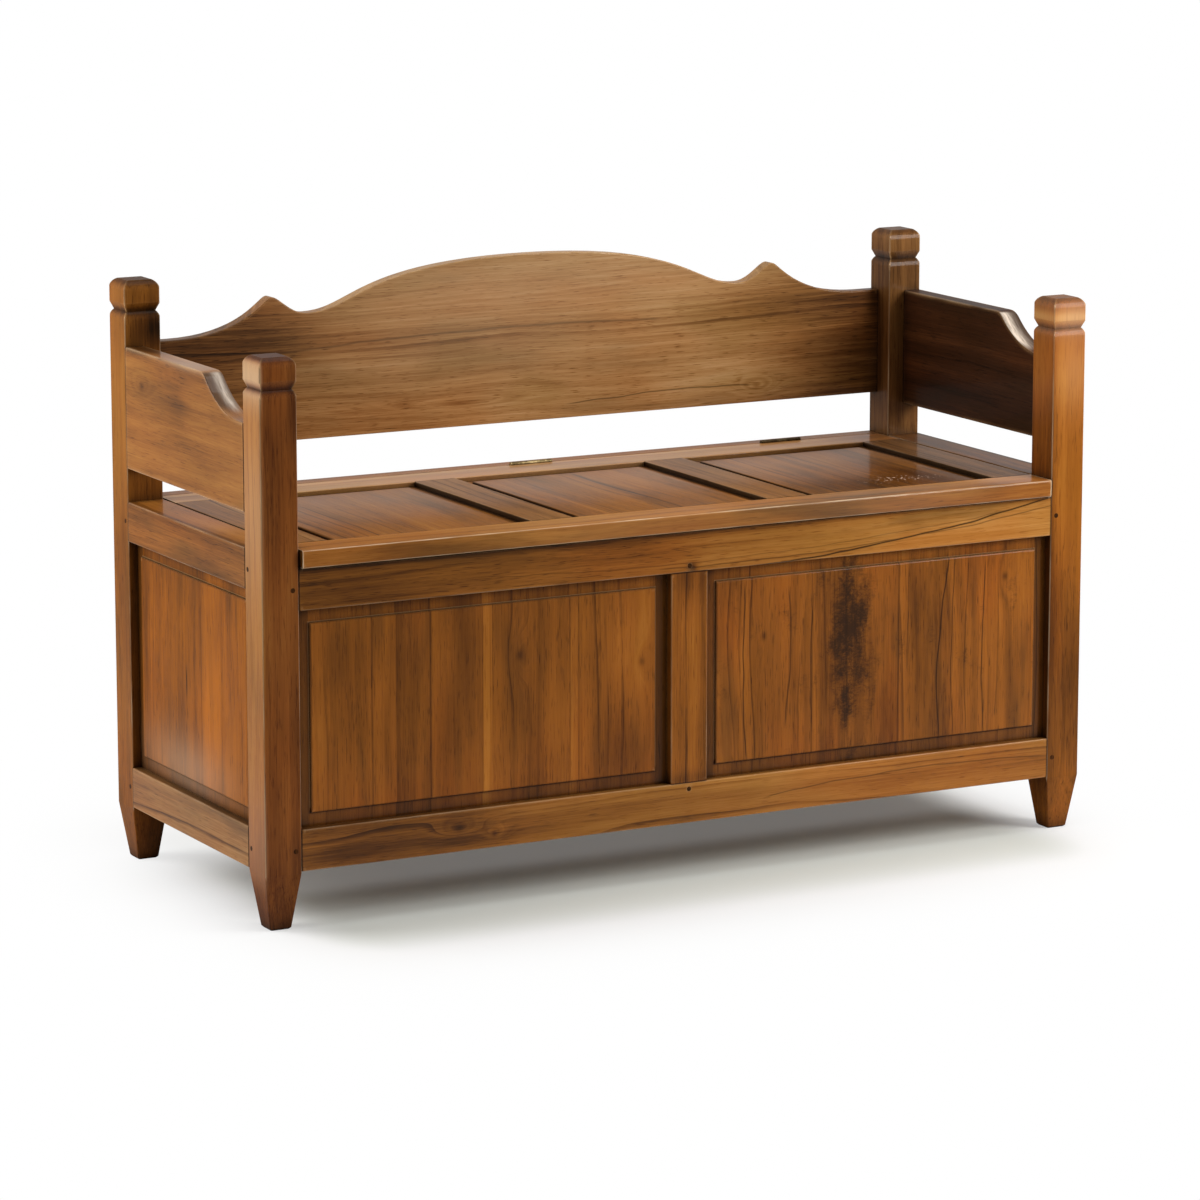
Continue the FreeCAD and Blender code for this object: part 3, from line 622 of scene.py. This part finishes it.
    def finish(self, material, colour, grime_and_shade, seam):
        """The varnished surface: bump and roughness from the grain, under a clear satin coat."""
        graph = self.graph
        height = graph.sum(
            graph.math("MULTIPLY", self.wood["Fibre"], 0.5),
            graph.math("MULTIPLY", self.wood["Line"], -0.5),
            graph.math("MULTIPLY", self.wood["Pore"], -0.5),
            graph.math("MULTIPLY", self.cloud, 1.5),
            graph.math("MULTIPLY", seam, -1.0),
        )
        bump = graph.add("Bump", {"Strength": grain_strength, "Distance": grain_depth, "Height": height})
        rough = graph.sum(
            wood_roughness - self.settings["gloss"],
            graph.math("MULTIPLY", graph.math("SUBTRACT", self.cloud, 0.5), 0.25),
            graph.math("MULTIPLY", grime_and_shade, 0.2),
            graph.math("MULTIPLY", self.wood["Fibre"], 0.08),
        )
        surface = graph.add("BsdfPrincipled", {
            "Base Color": colour, "Roughness": rough, "Normal": bump.outputs[0],
            "Specular IOR Level": wood_specular, "Coat Weight": self.settings["coat"],
            "Coat Roughness": coat_roughness, "Coat IOR": coat_ior,
        })
        graph.add("OutputMaterial", {"Surface": surface.outputs[0]})
        dress(self.name, material)


def dress(name, material):
    """Puts one material in every slot of a CAD node."""
    mesh = nodes[name].data
    if not mesh.materials:
        mesh.materials.append(material)
    for index in range(len(mesh.materials)):
        mesh.materials[index] = material


def metal(name, colour, roughness, tarnish, scale):
    """A worn metal: tarnish is its darker colour, in cloudy patches."""
    material = bpy.data.materials.new(name)
    material.use_nodes = True
    tree = material.node_tree
    tree.nodes.clear()
    graph = Graph(tree)
    place = graph.add("TexCoord").outputs["Object"]
    cloud = graph.noise(place, scale, 4.0, 0.6)
    brushed = graph.noise(graph.vector("MULTIPLY", place, (40.0, 900.0, 900.0)), 1.0, 2.0)
    shade = graph.mix(graph.step(cloud, 0.38, 0.66), tarnish, colour)
    rough = graph.sum(
        roughness,
        graph.math("MULTIPLY", graph.math("SUBTRACT", cloud, 0.5), -0.4),
        graph.math("MULTIPLY", brushed, 0.12),
    )
    bump = graph.add("Bump", {"Strength": 0.2, "Distance": 0.0002, "Height": brushed})
    surface = graph.add("BsdfPrincipled", {
        "Base Color": shade, "Roughness": rough, "Metallic": 1.0, "Normal": bump.outputs[0],
    })
    graph.add("OutputMaterial", {"Surface": surface.outputs[0]})
    return material


def post(name, height, clouds, coat=0.25, **settings):
    """A post, darker in its neck and on its top, with pale rubbed edges on its finial, partly a painted
    highlight.
    """
    middle = (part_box(name)[0][0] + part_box(name)[1][0]) / 2
    neck = (middle, height - 0.0375, 0.2, 0.005, -0.24)
    top = (middle, height, 0.2, 0.006, -0.26)
    Board(
        name, "Z", "X", spacing=0.009, clouds=[*clouds, neck, top], wear=1.0, rub=(0.50, 0.88), coat=coat,
        line=0.16, broad=0.16, fine=0.10, streak=0.16, fibre=0.24, rub_above=height - 0.055, rub_reach=0.003,
        arris_highlight=0.36, **settings
    )


def dress_posts():
    """Four posts. Clouds and hazes with a reach across of 3 mm lie on an outer face only."""
    post(
        "left_front_post", front_post_top, palette="red", tone=0.43, seed=1.9, pith=(0.05, -0.07), smoke=0.25,
        coat=0.14, warmth=0.4,
        # A far paler left face; darker at the foot and at the right below the finial
        clouds=[
            (-0.575, 0.55, 0.003, 0.30, 0.30), (-0.575, 0.67, 0.003, 0.03, 0.20),
            (-0.53, 0.63, 0.01, 0.05, -0.2), (-0.54, 0.03, 0.20, 0.10, -0.14),
            (-0.575, 0.10, 0.003, 0.20, 0.12),
        ],
        hazes=[
            (-0.575, 0.665, 0.003, 0.03, 0.42), (-0.575, 0.50, 0.003, 0.10, 0.16),
            (-0.575, 0.10, 0.003, 0.08, 0.12),
        ],
    )
    post(
        "right_front_post", front_post_top, palette="golden", tone=0.51, seed=7.7, pith=(0.03, -0.09),
        smoke=0.15, coat=0.18,
        # Pale on the finial, a painted highlight; darker downwards, and a painted shade on the left face
        clouds=[
            (0.55, 0.666, 0.2, 0.009, 0.42), (0.55, 0.60, 0.2, 0.05, 0.15), (0.55, 0.14, 0.2, 0.24, -0.22),
            (0.527, 0.50, 0.006, 0.30, -0.14),
        ],
        hazes=[(0.56, 0.665, 0.04, 0.02, 0.30), (0.56, 0.60, 0.03, 0.05, 0.10)],
    )
    post(
        "left_back_post", back_post_top, tone=0.47, seed=3.9, pith=(0.06, 0.05), coat=0.10,
        # Darker under the finial, and a painted shade on the foot
        clouds=[
            (-0.575, 0.58, 0.003, 0.12, 0.10), (-0.53, 0.675, 0.03, 0.024, -0.42),
            (-0.55, 0.30, 0.2, 0.2, -0.08), (-0.53, 0.03, 0.03, 0.05, -0.3),
        ],
    )
    post(
        "right_back_post", back_post_top, palette="tan", tone=0.47, seed=5.2, pith=(-0.05, 0.06), smoke=0.25,
        clouds=[
            (0.55, 0.56, 0.2, 0.11, -0.09), (0.55, 0.49, 0.2, 0.03, -0.10), (0.55, 0.685, 0.2, 0.03, -0.12),
        ],
    )


def dress_front_and_back():
    """Rails and muntins of the front and back frames. The front rails' veins are lines seen in the photo."""
    Board(
        "front_top_rail", "X", "Z", tone=0.50, seed=11.0, pith=(-0.10, 0.05), tenon=frame_tenon,
        line=0.16, broad=0.2, pore=0.2,
        # The line that climbs to the right end, and two fainter ones beside it
        veins=[
            (0.3840, 0.0, 0.196, 0.0011, 0.85, 0.0, 0.54), (0.3930, 0.05, 0.15, 0.0008, 0.5, -0.05, 0.54),
            (0.3985, -0.02, 0.12, 0.0006, 0.35, -0.3, 0.5),
        ],
        # Darker at the left and paler at the right, a painted shadow under the lid, and dark round the middle
        # peg
        clouds=[
            (0.41, -0.45, 0.2, 0.18, -0.16), (0.41, -0.12, 0.2, 0.12, -0.08), (0.41, 0.42, 0.2, 0.27, 0.27),
            (0.439, 0.0, 0.006, 2.0, -0.34), (0.393, 0.0034, 0.0055, 0.0065, -0.42),
        ],
    )
    Board(
        "front_bottom_rail", "X", "Z", tone=0.50, seed=12.3, pith=(-0.08, 0.07), tenon=frame_tenon,
        # A swirl round two knots in the left half
        knots=[(0.100, -0.318, 0.012, 2.6), (0.088, -0.27, 0.010, 2.0)],
        veins=[(0.106, 0.35, -0.25, 0.0008, 0.5, 0.1, 0.53)],
        clouds=[
            (0.10, -0.31, 0.03, 0.05, -0.14), (0.10, 0.1, 0.2, 0.3, 0.13), (0.10, -0.46, 0.2, 0.11, -0.17),
        ],
    )
    Board("back_top_rail", "X", "Z", seed=13.7, pith=(-0.01, 0.06), tenon=frame_tenon)
    Board("back_bottom_rail", "X", "Z", seed=14.2, pith=(0.02, 0.06), tenon=frame_tenon)
    for name, seed in (("front_muntin", 15.1), ("back_muntin", 16.4)):
        Board(
            name, "Z", "X", palette="golden", tone=0.47, seed=seed, pith=(0.05, 0.05), tenon=frame_tenon,
            clouds=[(0.0, 0.385, 0.03, 0.04, -0.20), (0.0, 0.125, 0.03, 0.012, -0.18)],
        )


def dress_panels():
    """Raised and fielded panels. The front ones' seams, knots and dark lines are where the photo has them."""
    # Brown staves, with two thin golden ones among them
    left = [
        (-0.540, 0.46, 0.11), (-0.4292, 0.44, 0.23), (-0.3974, 0.35, 0.31), (-0.3507, 0.37, 0.47),
        (-0.2807, 0.58, 0.53), (-0.2699, 0.43, 0.61), (-0.1620, 0.55, 0.73), (-0.1496, 0.40, 0.83),
        (-0.1206, 0.44, 0.91),
    ]
    Board(
        "front_left_panel", "Z", "X", palette="golden", seed=21.0, pith=(0.10, 0.07), staves=left,
        margin=field_margin, spacing=0.021, line=0.16, streak=0.10, fine=0.09, fibre=0.20, broad=0.20,
        smoke=0.3,
        knots=[(-0.2305, 0.304, 0.014, 2.4), (-0.0622, 0.280, 0.013, 2.2)],
        # Paler round the right knot and darker below it, with three darker places further left
        clouds=[
            (-0.300, 0.300, 0.020, 0.10, -0.14), (-0.410, 0.210, 0.006, 0.05, -0.12),
            (-0.090, 0.300, 0.040, 0.06, 0.10), (-0.450, 0.330, 0.050, 0.04, -0.08),
            (-0.085, 0.160, 0.050, 0.05, -0.14),
        ],
    )
    right = [(0.010, 0.42, 0.13), (0.1800, 0.40, 0.29), (0.3065, 0.42, 0.43), (0.4344, 0.42, 0.59)]
    dark_lines = [
        (0.0815, 0.27, 0.25, 0.0009, 0.75, 0.13, 0.37), (0.1480, 0.29, -0.5, 0.0012, 0.6, 0.17, 0.36),
        (0.1600, 0.20, 0.4, 0.0008, 0.4, 0.13, 0.28), (0.3650, 0.20, 0.5, 0.0010, 0.8, 0.13, 0.385),
        (0.3860, 0.26, 0.1, 0.0007, 0.7, 0.13, 0.38), (0.4060, 0.23, 0.1, 0.0007, 0.6, 0.13, 0.37),
        (0.4320, 0.24, 0.12, 0.0008, 0.75, 0.13, 0.37), (0.4560, 0.28, -0.3, 0.0007, 0.4, 0.15, 0.34),
        (0.3200, 0.32, 0.3, 0.0007, 0.45, 0.24, 0.37),
    ]
    Board(
        "front_right_panel", "Z", "X", palette="golden", seed=22.0, pith=(0.12, 0.08), staves=right,
        margin=field_margin, line=0.16, streak=0.13, fine=0.10, fibre=0.22, broad=0.22,
        knots=[(0.1104, 0.295, 0.010, 2.6), (0.4645, 0.339, 0.012, 2.2)], veins=dark_lines,
        crotch=(0.236, 0.270, 0.033, 0.135),
        clouds=[
            (0.237, 0.27, 0.04, 0.12, -0.12), (0.33, 0.33, 0.012, 0.06, -0.12),
            (0.25, 0.386, 0.24, 0.012, 0.14),
        ],
    )
    for name, seed in (("back_left_panel", 23.0), ("back_right_panel", 24.0)):
        Board(name, "Z", "X", seed=seed, pith=(0.10, 0.07), margin=field_margin)
    side_panel("left_side_panel", palette="amber", seed=25.0, tone=0.38)
    side_panel("right_side_panel", palette="golden", seed=26.0, tone=0.33)


def side_panel(name, palette, seed, tone):
    """A panel of two staves with a short crack, paler and milky at its foot, and painted shade at its front
    edge.
    """
    Board(
        name, "Z", "Y", palette=palette, seed=seed, pith=(0.10, 0.07), margin=field_margin, coat=0.04,
        warmth=0.2, line=0.08, broad=0.14, streak=0.10, fine=0.08, fibre=0.2,
        staves=[(-0.20, tone + 0.02, 0.21), (-0.022, tone - 0.02, 0.42)],
        veins=[(0.024, 0.262, 0.3, 0.0014, 0.9, 0.235, 0.285), (-0.002, 0.29, 0.2, 0.0007, 0.5, 0.25, 0.33)],
        hazes=[(0.02, 0.15, 0.12, 0.040, 0.22)],
        # Painted shade along the front edge, beside the post
        clouds=[(-0.184, 0.25, 0.008, 1.0, -0.45), (-0.06, 0.22, 0.06, 0.12, 0.07)],
    )


def dress_sides():
    """Side rails and arm boards. The right arm board is far darker than the left one."""
    for side, sign, seed, tone in (("left", -1, 31.0, 0.56), ("right", 1, 32.0, 0.36)):
        Board(
            side + "_top_rail", "Y", "X", tone=tone, seed=seed, pith=(0.08, -0.08), tenon=frame_tenon,
            clouds=[(sign * 0.5735, 0.0, 0.008, 1.0, -0.17), (sign * 0.545, 0.11, 0.018, 0.07, -0.14)],
        )
        Board(
            side + "_bottom_rail", "Y", "Z", palette="tan", tone=0.50, seed=seed + 0.4, pith=(-0.08, 0.06),
            tenon=frame_tenon,
        )
    Board(
        "left_arm_board", "Y", "Z", tone=0.51, seed=33.7, pith=(-0.02, 0.07), tenon=frame_tenon, wander=0.06,
        spacing=0.018, smoke=0.3, scoop=(0.9, 0.30, 0.42), coat=0.40, warmth=0.2, rub=(0.50, 0.86), wear=0.8,
        knots=[(0.612, 0.128, 0.016, 2.0)],
        # Among these, a painted shadow of the back post on the top near it
        clouds=[
            (0.62, 0.13, 0.03, 0.05, 0.08), (0.60, 0.02, 0.035, 0.03, -0.12),
            (0.655, 0.15, 0.007, 0.05, -0.42),
        ],
        # A milky haze along the top, a painted sheen
        hazes=[(0.655, 0.0, 0.006, 0.07, 0.25)],
    )
    Board(
        "right_arm_board", "Y", "Z", palette="dark", tone=0.47, seed=34.7, pith=(-0.10, 0.07),
        tenon=frame_tenon, wander=0.05, spacing=0.018, coat=0.08, scoop=(0.95, -0.65, 0.75),
        rub=(0.50, 0.86), wear=0.7,
    )


def dress_back_board():
    """The back board, darker towards both ends, the right end a painted shade beside the right arm."""
    Board(
        "back_board", "X", "Z", palette="tan", tone=0.67, seed=41.0, pith=(-0.16, 0.10), spacing=0.02,
        wander=0.035, streak=0.32, fine=0.28, broad=0.20, fibre=0.42, pore=0.26, smoke=0.2, tenon=frame_tenon,
        hazes=[(0.70, 0.0, 0.04, 0.30, 0.12), (0.63, -0.08, 0.05, 0.20, 0.10)],
        knots=[(0.5365, 0.340, 0.012, 2.4), (0.545, -0.10, 0.010, 11.0)],
        veins=[(0.541, 0.25, -0.25, 0.0008, 0.6, 0.05, 0.34), (0.640, 0.0, -0.10, 0.0014, 0.4, -0.45, 0.2)],
        # Dark ends, the right one a painted shade, a dark streak at the left, a paler crown
        # and a paler patch left of the right knot
        clouds=[
            (0.60, -0.52, 0.30, 0.16, -0.34), (0.655, -0.38, 0.035, 0.09, -0.26),
            (0.60, 0.56, 0.30, 0.17, -0.46), (0.64, 0.36, 0.05, 0.08, -0.10),
            (0.70, 0.05, 0.05, 0.40, 0.10), (0.56, 0.26, 0.04, 0.12, 0.12),
        ],
    )


def dress_lid():
    """The lid's frame and panels: old polish and painted shade in the recesses, lifted varnish on the last
    panel.
    """
    Board(
        "lid_front_rail", "X", "Y", tone=0.71, seed=51.0, pith=(0.09, 0.06), arris_highlight=1.0, coat=0.42,
        clouds=[
            (-0.2265, 0.0, 0.005, 2.0, -0.10), (-0.2265, 0.50, 0.02, 0.22, -0.12),
            (-0.20, 0.30, 0.03, 0.12, -0.25), (-0.2265, 0.44, 0.02, 0.035, -0.12),
        ],
        hazes=[(-0.20, 0.30, 0.03, 0.14, 0.20), (-0.20, -0.05, 0.03, 0.20, 0.10)],
    )
    Board(
        "lid_back_rail", "X", "Y", tone=0.79, seed=52.0, pith=(0.09, 0.06), smoke=0.2, coat=0.42,
        # Darker at the right end: a painted reflection of the dark right arm and back post
        clouds=[(0.18, 0.50, 0.10, 0.06, -0.34)], hazes=[(0.18, 0.0, 0.10, 0.36, 0.14)],
    )
    wall_shade_amount = 0.72
    for index, name in enumerate(("lid_left_stile", "lid_muntin_1", "lid_muntin_2", "lid_right_stile")):
        # The right stile is darker: a painted reflection of the dark right arm and back post
        tone = 0.38 if name == "lid_right_stile" else 0.48
        Board(
            name, "Y", "X", palette="tan", tone=tone, seed=53.0 + 1.3 * index, pith=(0.08, 0.06),
            tenon=lid_tenon, wall_shade=wall_shade_amount, coat=0.24, warmth=0.25,
        )
    for index, tone in enumerate((0.49, 0.47, 0.41)):
        last = index == 2
        Board(
            "lid_panel_%d" % (index + 1), "Y", "X", tone=tone, seed=61.0 + 1.7 * index,
            pith=(0.12, 0.08), gloss=0.08, coat=0.23, wall_shade=wall_shade_amount, streak=0.18, fibre=0.40, warmth=0.2,
            inset=(0.0065, 0.0140, 0.0055),
            hazes=[(0.0, 0.08, 2.0, 0.08, 0.12)],
            flecks=(0.375, -0.108, 0.060, 0.034) if last else None,
            # On the last panel, darker at the front right, a painted reflection of the dark right arm; paler
            # behind
            clouds=[(0.35, -0.12, 0.12, 0.07, -0.16), (0.33, 0.09, 0.12, 0.06, 0.10)] if last else [],
        )


def dress_inside():
    """Cleats and floor boards, of a paler wood without stain."""
    for name in ("left_lid_cleat", "right_lid_cleat"):
        Board(name, "Y", "Z", palette="inner", seed=71.0)
    for name in ("back_lid_cleat", "front_floor_cleat", "back_floor_cleat"):
        Board(name, "X", "Z", palette="inner", seed=72.0)
    for index in range(6):
        Board("floor_board_%d" % (index + 1), "Y", "X", palette="inner", seed=73.0 + index, pith=(0.03, 0.07))


def dress_pegs():
    """Drawbore pegs, whose dark end grain shows."""
    pegs = (
        ("front_pegs", "Y", "X"), ("back_pegs", "Y", "X"), ("left_pegs", "X", "Y"), ("right_pegs", "X", "Y"),
    )
    for name, grain, wide in pegs:
        Board(name, grain, wide, tone=0.08, seed=81.0, spacing=0.003, wear=0.0, arris_highlight=0.0, coat=0.03)


def dress_metal():
    """Hinges and screws. The middle hinge's knuckle is brighter, a painted highlight in its brass, as the photo
    shows it.
    """
    brass = metal("AgedBrass", linear(168, 146, 104), 0.38, linear(98, 82, 54), 90.0)
    dull_brass = metal("DullBrass", linear(112, 94, 66), 0.46, linear(70, 56, 38), 90.0)
    screw_brass = metal("BrassScrew", linear(178, 154, 108), 0.34, linear(108, 90, 58), 240.0)
    steel = metal("SteelScrew", linear(176, 176, 174), 0.30, linear(112, 108, 102), 240.0)
    for name in nodes:
        if "leaf" in name or name.endswith("_pin"):
            # The middle hinge's brighter brass is a painted highlight
            dress(name, brass if name.startswith("hinge_2") else dull_brass)
        elif name.endswith("hinge_screws"):
            dress(name, screw_brass)
        elif name == "cleat_screws":
            dress(name, steel)


def make_floor():
    """A wide pale floor that keeps the bench's shadow, with painted shade and light, and turns white further
    out.
    """
    bpy.ops.mesh.primitive_circle_add(vertices=96, radius=floor_radius, fill_type="NGON")
    floor = bpy.context.object
    floor.name = "studio_floor"
    material = bpy.data.materials.new("StudioFloor")
    material.use_nodes = True
    tree = material.node_tree
    tree.nodes.clear()
    graph = Graph(tree)
    place = graph.add("TexCoord").outputs["Object"]
    x, y = graph.split(place)[:2]
    reach = []
    for way, core, size in zip((x, y), floor_core, floor_fade):
        outside = graph.math("MAXIMUM", graph.math("SUBTRACT", graph.math("ABSOLUTE", way), core), 0.0)
        reach.append(graph.math("POWER", graph.math("DIVIDE", outside, size), 2.0))
    away = graph.sum(*reach)
    near = graph.math("EXPONENT", graph.math("MULTIPLY", away, -1.0))
    seen = graph.add("LightPath").outputs["Is Camera Ray"]
    ahead = graph.step(y, -1.2, -0.3, 0.35, 0.88)
    shade = graph.math("MAXIMUM", graph.math("MULTIPLY", seen, floor_shade), ahead)
    # A darker tint under the bench and just in front of it: painted shade
    below = graph.step(away, 0.0, 0.6, 1.0, 0.0)
    # Painted light on the floor under the bench, towards the back, for the camera only
    painted_glow = graph.math("ADD", graph.step(y, -0.11, -0.03, 0.0, 0.09), graph.step(y, 0.03, 0.24, 0.0, 0.6))
    tint = graph.mix(below, open_tint, shaded_tint)
    colour = graph.vector("MULTIPLY", tint, graph.combine(shade, shade, shade))
    plain = graph.add("BsdfDiffuse", {"Color": colour})
    far = graph.add("Emission", {"Color": (1, 1, 1, 1), "Strength": 1.0})
    kept = graph.math("MULTIPLY", graph.math("MULTIPLY", near, 0.97), graph.math("SUBTRACT", 1.0, painted_glow))
    fade = graph.math("MULTIPLY", graph.math("SUBTRACT", 1.0, kept), seen)
    mixed = graph.add("MixShader", {0: fade, 1: plain.outputs[0], 2: far.outputs[0]})
    graph.add("OutputMaterial", {"Surface": mixed.outputs[0]})
    floor.data.materials.append(material)


def make_world():
    """White to the camera and behind the bench, and a dim room in front of it."""
    world = bpy.data.worlds.new("StudioWorld")
    bpy.context.scene.world = world
    world.use_nodes = True
    world.node_tree.nodes.clear()
    graph = Graph(world.node_tree)
    towards = graph.split(graph.add("TexCoord").outputs["Generated"])
    level = graph.step(towards["Y"], -0.30, 0.30, room_level, surround_level)
    camera = graph.add("LightPath").outputs["Is Camera Ray"]
    strength = graph.math("MAXIMUM", level, camera)
    back = graph.add("Background", {"Color": (1, 1, 1, 1), "Strength": strength})
    graph.add("OutputWorld", {"Surface": back.outputs[0]})


def area_light(name, place, target, size, watts):
    """A soft box that faces its target."""
    data = bpy.data.lights.new(name, "AREA")
    data.shape = "RECTANGLE"
    data.size, data.size_y = size
    data.energy = watts
    light = bpy.data.objects.new(name, data)
    bpy.context.scene.collection.objects.link(light)
    light.location = place
    aim = Vector(target) - Vector(place)
    light.rotation_euler = aim.to_track_quat("-Z", "Y").to_euler()


def make_lights():
    """The soft boxes at the front right, at the left and overhead."""
    for name, (place, target, size, watts) in soft_boxes.items():
        area_light(name, place, target, size, watts)


def make_camera():
    """The photograph's viewpoint."""
    data = bpy.data.cameras.new("Camera")
    data.lens = camera_lens
    data.sensor_width = camera_sensor
    data.clip_end = camera_reach
    camera = bpy.data.objects.new("Camera", data)
    bpy.context.scene.collection.objects.link(camera)
    camera.location = camera_place
    camera.rotation_euler = (math.radians(camera_pitch), 0.0, math.radians(camera_yaw))
    bpy.context.scene.camera = camera


dress_posts()
dress_front_and_back()
dress_panels()
dress_sides()
dress_back_board()
dress_lid()
dress_inside()
dress_pegs()
dress_metal()
make_floor()
make_world()
make_lights()
make_camera()

bpy.context.scene.view_settings.view_transform = "Standard"
